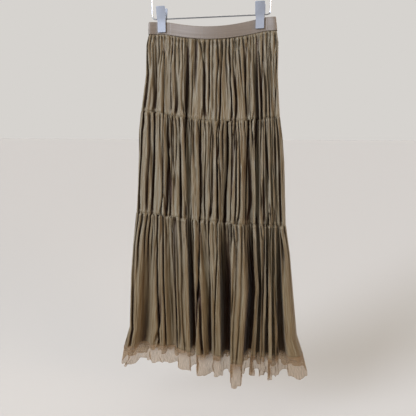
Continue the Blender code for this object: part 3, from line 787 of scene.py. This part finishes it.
# The deepest gathers of each front tier, in millimetres: x at its top, middle and bottom, depth at
# the same three, and half width. The back has them the other way round.
DEEP_FOLDS = {
    "tier_1": (
        (-133, -131, -134, 8, 5, 5, 4), (-118, -107, -112, 8, 12, 8, 4),
        (-90, -94, -94, 10, 9, 5, 4), (-55, -54, -54, 6, 13, 14, 5), (-40, -37, -40, 5, 6, 3, 3),
        (-24, -9, -17, 6, 6, 6, 4), (1, 1, 2, 5, 6, 3, 3), (31, 31, 28, 6, 8, 7, 4),
        (47, 53, 52, 6, 7, 10, 4), (59, 66, 64, 9, 3, 3, 4), (89, 85, 92, 10, 7, 8, 4),
        (110, 111, 116, 9, 13, 15, 5), (124, 125, 128, 6, 6, 5, 4), (153, 155, 156, 5, 6, 5, 4),
    ),
    "tier_2": (
        (-134, -140, -144, 9, 6, 6, 4), (-112, -116, -121, 11, 12, 8, 4),
        (-96, -103, -106, 4, 10, 15, 5), (-89, -91, -94, 6, 10, 8, 4), (-72, -70, -69, 4, 4, 10, 4),
        (-54, -54, -51, 18, 16, 14, 6), (-38, -41, -44, 10, 9, 8, 4), (-19, -19, -18, 9, 12, 11, 4),
        (10, 4, 11, 6, 6, 6, 3), (27, 24, 21, 9, 11, 6, 4), (46, 46, 41, 11, 18, 15, 6),
        (66, 63, 58, 9, 9, 11, 4), (96, 95, 97, 11, 14, 12, 5), (105, 105, 110, 8, 11, 14, 4),
        (115, 116, 119, 12, 15, 12, 5), (127, 126, 135, 6, 6, 5, 4), (135, 143, 156, 9, 9, 8, 4),
        (152, 158, 167, 8, 8, 5, 4),
    ),
    "tier_3": (
        (-130, -135, -133, 14, 26, 20, 7), (-118, -118, -112, 12, 17, 12, 6),
        (-86, -84, -80, 10, 9, 15, 6), (-18, -21, -27, 15, 24, 24, 7), (4, 5, 9, 8, 7, 15, 5),
        (25, 23, 22, 10, 10, 5, 4), (63, 62, 62, 12, 9, 3, 5), (84, 86, 80, 5, 4, 6, 4),
        (139, 141, 142, 8, 7, 4, 5),
    ),
}


def gather_lines(draw, count, spread):
    """Where gathers fall across the cloth, from 0 to 1, unevenly spaced."""
    widths = draw.lognormal(0.0, spread, count + 1)
    return (np.cumsum(widths) / np.sum(widths))[:-1]


def where_crossed(width, cloth, line):
    """The width of each row at the place where a line down the cloth crosses it."""
    column = np.clip(np.searchsorted(cloth, line), 1, len(cloth) - 2)
    return width[np.arange(len(line)), column]


def press(out, along, cloth, centre, left, right, depth, pinch, sharpness=1.0):
    """Press one valley into the cloth: its line down the rows, half widths, depth and overhang."""
    near = np.flatnonzero((cloth > np.min(centre - left)) & (cloth < np.max(centre + right)))
    if len(near) == 0:
        return
    offset = cloth[near][None, :] - centre[:, None]
    reach = np.where(offset < 0.0, left[:, None], right[:, None])
    z = np.clip(offset / reach, -1.0, 1.0)
    dip = np.cos(0.5 * math.pi * z) ** (2.0 * sharpness)
    out[:, near] -= depth[:, None] * dip
    along[:, near] += pinch * depth[:, None] * np.sin(math.tau * z) * (np.abs(z) < 1.0)


def deepen(out, along, cloth, x, width, share, folds, side):
    """Press the table's deepest gathers, each along its own line of x."""
    ordered = np.maximum.accumulate(x, axis=1)
    for fold in folds:
        marks, depths, half = np.array(fold[:3]), np.array(fold[3:6]), fold[6] / 1000.0
        path = -side * np.interp(share, (0.0, 0.5, 1.0), marks) / 1000.0
        line = evened([np.interp(place, row, cloth) for place, row in zip(path, ordered)], 6)
        reach = half / where_crossed(width, cloth, line)
        depth = np.interp(share, (0.0, 0.5, 1.0), depths) / 1000.0
        press(out, along, cloth, line, reach, reach, depth, DEEP_OVERHANG)


def pleat(draw, out, along, cloth, cut, width, count, share, keep, strength, deepest, widest,
          sharpness):
    """Press a set of valleys that run together lower down: some fade and the others widen."""
    centres = gather_lines(draw, count, 0.45)
    rows = len(share)
    kept = draw.random(count) < keep
    fans = sum(np.sin(math.tau * (turns * centres + draw.random())) / turns for turns in (5, 9, 14))
    lines = [centre + (wander(draw, rows, 4, PLEAT_WANDER / count)
                       + fan * PLEAT_FAN / count * (share - 0.3)) * smooth(share / 0.15)
             for centre, fan in zip(centres, fans)]
    kept_lines = [line for line, stays in zip(lines, kept) if stays]
    for at, (line, stays) in enumerate(zip(lines, kept)):
        left = 0.5 * (line - lines[at - 1]) if at > 0 else 0.5 * line
        right = 0.5 * (lines[at + 1] - line) if at + 1 < count else 0.5 * (1.0 - line)
        joins = draw.uniform(0.25, 0.75)
        merged = smooth((share - joins + 0.25) / 0.5)
        if stays and kept_lines:
            before = [other for other in kept_lines if other[0] < line[0]]
            after = [other for other in kept_lines if other[0] > line[0]]
            wide_left = 0.5 * (line - before[-1]) if before else 0.5 * line
            wide_right = 0.5 * (after[0] - line) if after else 0.5 * (1.0 - line)
            left = left + merged * (wide_left - left)
            right = right + merged * (wide_right - right)
        left, right = np.maximum(left, 0.2 / count), np.maximum(right, 0.2 / count)
        local = where_crossed(width, cloth, line)
        fullness = np.clip(cut / local - 1.0, 0.02, None)
        depth = (left + right) * local * PLEAT_DEPTH * fullness ** PLEAT_POWER * strength
        depth = depth * draw.uniform(*PLEAT_SIZES) * (1.0 + wander(draw, rows, 6, 0.3))
        depth = deepest * np.tanh(depth / deepest)
        if not stays:
            depth = depth * (1.0 - 0.85 * merged)
        left, right = np.minimum(left, widest / local), np.minimum(right, widest / local)
        press(out, along, cloth, line, left, right, depth, PLEAT_OVERHANG, sharpness)


def crinkle(draw, out, along, cloth, width, share, count, size, last, strength):
    """Press short fine creases at random, each of a given width, down to a share of the panel."""
    for _ in range(count):
        start = draw.uniform(-0.1, last)
        length = draw.uniform(0.12, 0.45) * (last + 0.2)
        fade = smooth((share - start) / 0.05) * smooth((start + length - share) / (0.5 * length))
        if not np.any(fade > 0.0):
            continue
        centre = draw.uniform(0.0, 1.0) + wander(draw, len(share), 4, CREASE_WANDER)
        local = np.maximum(where_crossed(width, cloth, centre), 1e-6)
        half = 0.5 * size * draw.uniform(0.7, 1.4) / local
        depth = strength * draw.uniform(0.5, 1.2) * fade
        press(out, along, cloth, centre, half, half, depth, CREASE_OVERHANG)


def lay_out(top, bottom, side, columns, share, swell):
    """A panel before it is gathered: its places, its cloth's width there and its rows as hung."""
    place = even_places(top, bottom, side, columns)
    cloth = np.linspace(0.0, 1.0, columns)
    drops = top["drop"] + share * (bottom["drop"] - top["drop"])
    hung = hang(drops, side, place, swell)
    width = np.gradient(run_lengths(*hung[:2]), cloth, axis=1)
    return place, cloth, width, hung


def bulge(distance, middle, reach):
    """A smooth rise to 1 at a distance from a seam, and down again."""
    return np.exp(-((distance - middle) / reach) ** 2)


def join_edges(out, along, rise, place, above, ease):
    """Start a panel's moves from those of the edge above, and end them at the side seams."""
    out = out + (1.0 - rise) * np.interp(place, above["place"], above["out"])
    along = along + (1.0 - rise) * np.interp(place, above["place"], above["along"])
    sides = smooth((place - SIDE_SEAMS[0]) / ease) * smooth((SIDE_SEAMS[1] - place) / ease)
    return out * sides, along * sides, sides


def flat_metres(cloth, cut, share, height):
    """Each point's place on the flat cloth, in metres along it and down it."""
    shape = (len(share), len(cloth))
    return np.broadcast_to(cloth * cut, shape), np.broadcast_to((-share * height)[:, None], shape)


def tier_surface(name, side, above):
    """A gathered tier's points, its flat cloth's metres, its gathers' depth and its lower edge."""
    tier = dict(zip(TIER_COLUMNS, TIERS[name]))
    top, bottom = line_named(tier["top"]), line_named(tier["bottom"])
    height = bottom["drop"] - top["drop"]
    even = np.linspace(0.0, 1.0, tier["rows"])
    share = even - ROW_CROWDING * np.sin(math.tau * even)
    swell = 1.0 + tier["swell"] * np.sin(math.pi * share)
    place, cloth, width, hung = lay_out(top, bottom, side, tier["columns"], share, swell)
    x, y, own_drop, recess, level_x = hung
    draw = np.random.default_rng(sum(map(ord, name)) + (7 if side < 0 else 19))

    out, along = np.zeros_like(x), np.zeros_like(x)
    strength = PLEAT_STRENGTH * (1.0 - tier["fade"] * smooth(share / 0.5))
    pleat(draw, out, along, cloth, tier["cut"], width, tier["pleats"], share, tier["keep"],
          strength, DEEPEST_PLEAT, WIDEST_VALLEY, PLEAT_SHARPNESS)
    deepen(out, along, cloth, level_x, width, share, DEEP_FOLDS[name], side)
    crinkle(draw, out, along, cloth, width, share, CREASES_PER_PLEAT * tier["pleats"],
            CREASE_WIDTH, 1.0, CREASE_DEPTH)
    crinkle(draw, out, along, cloth, width, share, 2 * tier["gathers"],
            GATHER_WIDTH, GATHER_LENGTH / height, GATHER_DEPTH)

    tuck = 0.0 if name == "tier_1" else SEAM_TUCK
    from_top, from_bottom = np.maximum(share * height - tuck, 0.0), (1.0 - share) * height
    rise = smooth((from_top + BLEND_LEAD) / SEAM_BLEND)[:, None]
    ease = (0.6 + 0.4 * smooth(from_bottom / (2.0 * SEAM_BLEND)))[:, None]
    lift = tier["lift"] * (1.0 - smooth(share / 0.6))[:, None]
    notch = bulge(from_top, 0.0, NOTCH_REACH) + bulge(from_bottom, 0.0, NOTCH_REACH)
    puff = (bulge(from_top, PUFF_BELOW_SEAM, PUFF_REACH)
            + 0.6 * bulge(from_bottom, PUFF_ABOVE_SEAM, PUFF_REACH))
    behind = (TUCK_DEPTH if tuck else 0.0) * bulge(from_top, 0.0, TUCK_REACH)
    out = (out * ease + lift) * rise + (SEAM_PUFF * puff - SEAM_NOTCH * notch - behind)[:, None]
    out, along, sides = join_edges(out, along * ease * rise, rise, place, above, SIDE_EASE)
    points = push_out(x, y, out, along, side, top, bottom, share, own_drop, tuck)
    lower_edge = {"place": place, "out": out[-1] + SEAM_NOTCH * sides, "along": along[-1]}
    cloth_u, cloth_v = flat_metres(cloth, tier["cut"], share, height)
    # The last value is the depth by which the material paints shade into the gathers and recesses.
    return points, cloth_u, cloth_v, RECESS_SHADE * recess - out, lower_edge


def push_out(x, y, out, along, side, top, bottom, share, own_drop, tuck):
    """The points of a panel moved off its rows, never past the middle plane.

    The folds press straight back more than sideways, so those on a large fold's flank stay on it.
    The top edge goes up behind the piece above by the tuck.
    """
    along_x, along_y = row_normals(x, y)
    moved_x = x + along * along_x - 0.3 * out * along_y
    moved_y = y + along * along_y + out * (0.4 + 0.6 * along_x)
    least = np.minimum(LEAST_CLEARANCE, y)
    held_off = least ** 2 / (2.0 * least - np.minimum(moved_y, least))
    moved_y = np.where(moved_y < least, held_off, moved_y)
    high, low = edge_heights(top, bottom, x, own_drop)
    high = high + tuck
    return np.stack((moved_x, side * moved_y, high + share[:, None] * (low - high)), axis=2)


# Polyester georgette, crinkled in the yarn and pressed in fine upright creases, with a soft satin
# sheen; some warm light passes through a single layer. Shade and highlight are painted into its
# colour along the fine creases, darker where the crease bump falls and lighter where it rises,
# mixed with random dye bands. Shade is also painted in, darker with depth, in the deep gathers and
# the large folds' recesses, and a warm, browner shade is painted in towards the hem. The crepe
# grain is drawn at 0.7 mm, about twice its real size, so that it shows.
georgette, georgette_flat = woven_cloth("crinkled satin georgette")
creases = marks_on(georgette, georgette_flat, 4.0, 50.0, detail=2.0)
crepe = marks_on(georgette, georgette_flat, 0.7, 0.7, detail=2.0, roughness=0.6)
dye_bands = marks_on(georgette, georgette_flat, 14.0, 160.0, detail=2.0)
# Painted shade and highlight: the colour goes darker where the crease bump falls and lighter where
# it rises, mixed with random dye bands.
tone_mix = add_node(georgette, "ShaderNodeMix", {"data_type": "FLOAT"}, {
    0: 0.45, 2: creases.outputs["Fac"], 3: dye_bands.outputs["Fac"]})
tone_range = add_node(georgette, "ShaderNodeMapRange", {}, {
    "Value": tone_mix.outputs[0], "From Min": 0.35, "From Max": 0.65})
georgette_tone = add_node(georgette, "ShaderNodeMix", {"data_type": "RGBA"}, {
    0: tone_range.outputs["Result"], 6: linear(GEORGETTE_SHADE_AND_DYE), 7: linear(GEORGETTE)})
# Painted shade: the colour darkens towards near black with the gather depth, in the deep gathers
# and the large folds' recesses.
gather_depth = add_node(georgette, "ShaderNodeAttribute", {"attribute_name": "gather depth"}, {})
fold_shade_share = add_node(georgette, "ShaderNodeMapRange", {"interpolation_type": "SMOOTHSTEP"}, {
    "Value": gather_depth.outputs["Fac"], "From Min": PAINTED_SHADE_FROM, "From Max": PAINTED_SHADE_FULL_AT})
fold_shaded_tone = add_node(georgette, "ShaderNodeMix", {"data_type": "RGBA"}, {
    0: fold_shade_share.outputs["Result"], 6: georgette_tone.outputs[2], 7: linear(GEORGETTE_PAINTED_SHADE)})
# Painted shade: from 0.62 m to 0.95 m below the origin the colour is multiplied towards a warmer,
# browner shade.
skirt_place = add_node(georgette, "ShaderNodeTexCoord", {}, {})
skirt_split = add_node(georgette, "ShaderNodeSeparateXYZ", {}, {
    "Vector": skirt_place.outputs["Object"]})
hem_shade_share = add_node(georgette, "ShaderNodeMapRange", {"interpolation_type": "SMOOTHSTEP"}, {
    "Value": skirt_split.outputs["Z"], "From Min": BROWNER_FROM, "From Max": BROWNEST_AT})
hem_tone = add_node(georgette, "ShaderNodeMix", {"data_type": "RGBA", "blend_type": "MULTIPLY"}, {
    0: hem_shade_share.outputs["Result"], 6: fold_shaded_tone.outputs[2], 7: linear(GEORGETTE_HEM_SHADE)})
crepe_bump = add_node(georgette, "ShaderNodeBump", {}, {
    "Height": crepe.outputs["Fac"], "Strength": 0.5, "Distance": 0.00016})
crease_bump = add_node(georgette, "ShaderNodeBump", {}, {
    "Height": creases.outputs["Fac"], "Strength": 0.8, "Distance": 0.0014,
    "Normal": crepe_bump.outputs["Normal"]})
georgette_face = add_node(georgette, "ShaderNodeBsdfPrincipled", {}, {
    "Base Color": hem_tone.outputs[2], "Roughness": 0.55, "Specular IOR Level": 0.3,
    "Sheen Weight": 0.2, "Sheen Roughness": 0.4, "Normal": crease_bump.outputs["Normal"]})
georgette_through = add_node(georgette, "ShaderNodeBsdfTranslucent", {}, {
    "Color": linear(GEORGETTE_THROUGH), "Normal": crease_bump.outputs["Normal"]})
georgette_mix = add_node(georgette, "ShaderNodeMixShader", {}, {
    0: 0.10, 1: georgette_face.outputs["BSDF"], 2: georgette_through.outputs["BSDF"]})
finish_material(georgette, georgette_mix)

lower_edges = {}
for half, side in FACES:
    edge = {"place": np.array(SIDE_SEAMS), "out": np.full(2, -UNDER_BAND), "along": np.zeros(2)}
    for name in TIERS:
        tier_points, tier_u, tier_v, tier_depth, edge = tier_surface(name, side, edge)
        panel = cloth_piece(f"{name}_{half}_panel", tier_points, tier_u, tier_v, side > 0,
                            tier_depth)
        show(panel, georgette, "crinkled_satin_georgette", f"{name}_{half}")
    lower_edges[side] = edge


# Chiffon frill ----------------------------------------------------------------------------------
# A strip of sheer chiffon, cut a sixth longer than the lower tier, gathered into its edge and
# finished with a narrow rolled hem. It flares, ruffles and lets what is behind it show through.

CHIFFON = "#6d573c"
CHIFFON_THROUGH = "#866a42"
CHIFFON_TINT = "#f4ece1"
FRILL_CUT = 1.60
FRILL_COLUMNS = 1100
FRILL_ROWS = 18
FRILL_FLARE = 0.004
FRILL_RUFFLES = 34
DEEPEST_RUFFLE = 0.017
WIDEST_RUFFLE = 0.026
RUFFLE_SHARPNESS = 0.8
FRILL_CREASES = 520
FRILL_GATHER_DEPTH = 0.0024
RUFFLE_CREASE_WIDTH = 0.0070
RUFFLE_CREASE_DEPTH = 0.0013
FRILL_PUFF = 0.0022
FRILL_PUFF_BELOW_SEAM = 0.005
FRILL_BLEND = 0.012
FRILL_NOTCH_REACH = 0.002
FRILL_SIDE_EASE = 0.4
HEM_WAVE = 0.0008
ROLLED_HEM = 0.0015
HEM_FADE = 0.0003
GATHERS_END = -0.028
GATHERS_START = -0.002


def frill_surface(side, above):
    """The frill's points and its flat cloth's metres."""
    top, bottom = line_named("frill_seam"), line_named("hem")
    height = bottom["drop"] - top["drop"]
    share = np.linspace(0.0, 1.0, FRILL_ROWS) ** 1.15
    place, cloth, width, hung = lay_out(top, bottom, side, FRILL_COLUMNS, share,
                                        np.ones(FRILL_ROWS))
    x, y, own_drop, *_ = hung
    draw = np.random.default_rng(404 if side < 0 else 505)
    out, along = np.zeros_like(x), np.zeros_like(x)
    pleat(draw, out, along, cloth, FRILL_CUT, width, FRILL_RUFFLES, 0.3 * share, 0.9, 1.0,
          DEEPEST_RUFFLE, WIDEST_RUFFLE, RUFFLE_SHARPNESS)
    crinkle(draw, out, along, cloth, width, share, FRILL_CREASES, GATHER_WIDTH, 0.35,
            FRILL_GATHER_DEPTH)
    crinkle(draw, out, along, cloth, width, share, FRILL_CREASES, RUFFLE_CREASE_WIDTH, 1.0,
            RUFFLE_CREASE_DEPTH)
    from_top = np.maximum(share * height - SEAM_TUCK, 0.0)
    rise = smooth((from_top + BLEND_LEAD) / FRILL_BLEND)[:, None]
    spread = (0.5 + 0.5 * smooth(share))[:, None]
    flare = (FRILL_FLARE * share)[:, None]
    puff = FRILL_PUFF * bulge(from_top, FRILL_PUFF_BELOW_SEAM, PUFF_REACH)
    notch = SEAM_NOTCH * bulge(from_top, 0.0, FRILL_NOTCH_REACH)
    notch = notch + TUCK_DEPTH * bulge(from_top, 0.0, TUCK_REACH)
    out = (out * spread + flare) * rise + (puff - notch)[:, None]
    out, along, sides = join_edges(out, along * spread * rise, rise, place, above,
                                   FRILL_SIDE_EASE)
    points = push_out(x, y, out, along, side, top, bottom, share, own_drop, SEAM_TUCK)
    ruffle = sum(np.sin(math.tau * (count * cloth + draw.random())) for count in (17, 29, 43))
    points[:, :, 2] += (HEM_WAVE * ruffle * sides)[None, :] * (share ** 2)[:, None]
    return points, *flat_metres(cloth, FRILL_CUT, share, height)


# Silk-like polyester chiffon: open plain weave, so light passes both between and through its
# yarns. Two layers of it, as at a gather or the rolled hem, show darker than one.
chiffon, chiffon_flat = woven_cloth("sheer chiffon")
puckers = marks_on(chiffon, chiffon_flat, 2.4, 18.0, detail=3.0)
chiffon_bump = add_node(chiffon, "ShaderNodeBump", {}, {
    "Height": puckers.outputs["Fac"], "Strength": 0.8, "Distance": 0.0012})
chiffon_yarn = add_node(chiffon, "ShaderNodeBsdfPrincipled", {}, {
    "Base Color": linear(CHIFFON), "Roughness": 0.6, "Specular IOR Level": 0.3,
    "Sheen Weight": 0.2, "Normal": chiffon_bump.outputs["Normal"]})
chiffon_through = add_node(chiffon, "ShaderNodeBsdfTranslucent", {}, {
    "Color": linear(CHIFFON_THROUGH), "Normal": chiffon_bump.outputs["Normal"]})
chiffon_lit = add_node(chiffon, "ShaderNodeMixShader", {}, {
    0: 0.4, 1: chiffon_yarn.outputs["BSDF"], 2: chiffon_through.outputs["BSDF"]})
chiffon_split = add_node(chiffon, "ShaderNodeSeparateXYZ", {}, {
    "Vector": chiffon_flat.outputs["UV"]})
hem_from = line_named("frill_seam")["drop"] - line_named("hem")["drop"] + ROLLED_HEM
hem_share = add_node(chiffon, "ShaderNodeMapRange", {}, {
    "Value": chiffon_split.outputs["Y"], "From Min": hem_from - HEM_FADE, "From Max": hem_from,
    "To Min": 0.75, "To Max": 0.0})
weave_share = add_node(chiffon, "ShaderNodeMapRange", {}, {
    "Value": puckers.outputs["Fac"], "From Min": 0.3, "From Max": 0.7,
    "To Min": 0.22, "To Max": 0.62})
gather_share = add_node(chiffon, "ShaderNodeMapRange", {}, {
    "Value": chiffon_split.outputs["Y"], "From Min": GATHERS_END, "From Max": GATHERS_START,
    "To Min": 0.30, "To Max": 0.90})
edge_share = add_node(chiffon, "ShaderNodeMath", {"operation": "MAXIMUM"}, {
    0: hem_share.outputs["Result"], 1: gather_share.outputs["Result"]})
cover = add_node(chiffon, "ShaderNodeMath", {"operation": "MAXIMUM"}, {
    0: edge_share.outputs["Value"], 1: weave_share.outputs["Result"]})
chiffon_open = add_node(chiffon, "ShaderNodeBsdfTransparent", {}, {
    "Color": linear(CHIFFON_TINT)})
chiffon_mix = add_node(chiffon, "ShaderNodeMixShader", {}, {
    0: cover.outputs["Value"], 1: chiffon_open.outputs["BSDF"], 2: chiffon_lit.outputs["Shader"]})
finish_material(chiffon, chiffon_mix)

for half, side in FACES:
    frill = cloth_piece(f"frill_{half}_chiffon", *frill_surface(side, lower_edges[side]), side > 0)
    show(frill, chiffon, "sheer_chiffon", f"frill_{half}")


# Studio -----------------------------------------------------------------------------------------
# A pale floor under the hanging skirt, a broad cool light and a soft box at the front left, warm
# fill on the right and behind, and the camera at the photograph's place and angle.

FLOOR_DROP = 1.22
FLOOR_HALF = 30.0
FLOOR_COLOUR = "#b3b2b0"
SKY_COLOUR = "#d6d3cf"
SOFT_BOX_SIZE = 0.7
SOFT_BOX_WATTS = 7.0
SOFT_BOX_PLACE = (-0.75, -0.90, 0.10)
SOFT_BOX_AIM = (0.0, 0.0, -0.35)
CAMERA_PLACE = (0.19293, -1.07914, -0.43699)
CAMERA_TURN = 10.4
CAMERA_TILT = 10.26
PHOTO_SIDE = 416.0
PHOTO_FOCUS = 440.0

floor_grid = bmesh.new()
bmesh.ops.create_grid(floor_grid, x_segments=1, y_segments=1, size=FLOOR_HALF)
floor = object_from("floor", floor_grid)
floor.location.z = -FLOOR_DROP
floor_paint = start_material("matt painted floor")
floor_shader = add_node(floor_paint, "ShaderNodeBsdfPrincipled", {}, {
    "Base Color": linear(FLOOR_COLOUR), "Roughness": 1.0, "Specular IOR Level": 0.0})
finish_material(floor_paint, floor_shader)
floor.data.materials.append(floor_paint)
put_in_scene(floor)

sky = bpy.data.worlds.new("pale studio")
sky.use_nodes = True
sky.node_tree.nodes["Background"].inputs["Color"].default_value = linear(SKY_COLOUR)
bpy.context.scene.world = sky

# Each light is far off and broad: where it shines from, its strength, spread and colour.
LIGHTS = {
    "window light": ((-0.66, -0.68, 0.33), 4.5, 30.0, "#eaf0ff"),
    "warm fill": ((0.86, -0.50, 0.15), 2.7, 40.0, "#ffe0c0"),
    "back fill": ((0.30, 0.88, 0.36), 2.2, 60.0, "#fff6ea"),
}
for name, (shines_from, strength, spread, colour) in LIGHTS.items():
    lamp = bpy.data.lights.new(name, "SUN")
    lamp.angle = math.radians(spread)
    lamp.energy = strength
    lamp.color = linear(colour)[:3]
    light = bpy.data.objects.new(name, lamp)
    light.rotation_euler = Vector(shines_from).to_track_quat("Z", "Y").to_euler()
    put_in_scene(light)

# A soft box at the upper left, near enough to light the top of the skirt more than its hem.
soft_box = bpy.data.lights.new("soft box", "AREA")
soft_box.size = SOFT_BOX_SIZE
soft_box.energy = SOFT_BOX_WATTS
near_light = bpy.data.objects.new("soft box", soft_box)
near_light.location = SOFT_BOX_PLACE
aim = Vector(SOFT_BOX_PLACE) - Vector(SOFT_BOX_AIM)
near_light.rotation_euler = aim.to_track_quat("Z", "Y").to_euler()
near_light.visible_camera = False
put_in_scene(near_light)

lens = bpy.data.cameras.new("photo camera")
lens.sensor_width = 36.0
lens.lens = lens.sensor_width * PHOTO_FOCUS / PHOTO_SIDE
lens.clip_start = 0.05
camera = bpy.data.objects.new("photo camera", lens)
camera.location = CAMERA_PLACE
camera.rotation_euler = (math.radians(90.0 - CAMERA_TILT), 0.0, math.radians(CAMERA_TURN))
put_in_scene(camera)
bpy.context.scene.camera = camera
bpy.context.scene.view_settings.view_transform = "Standard"
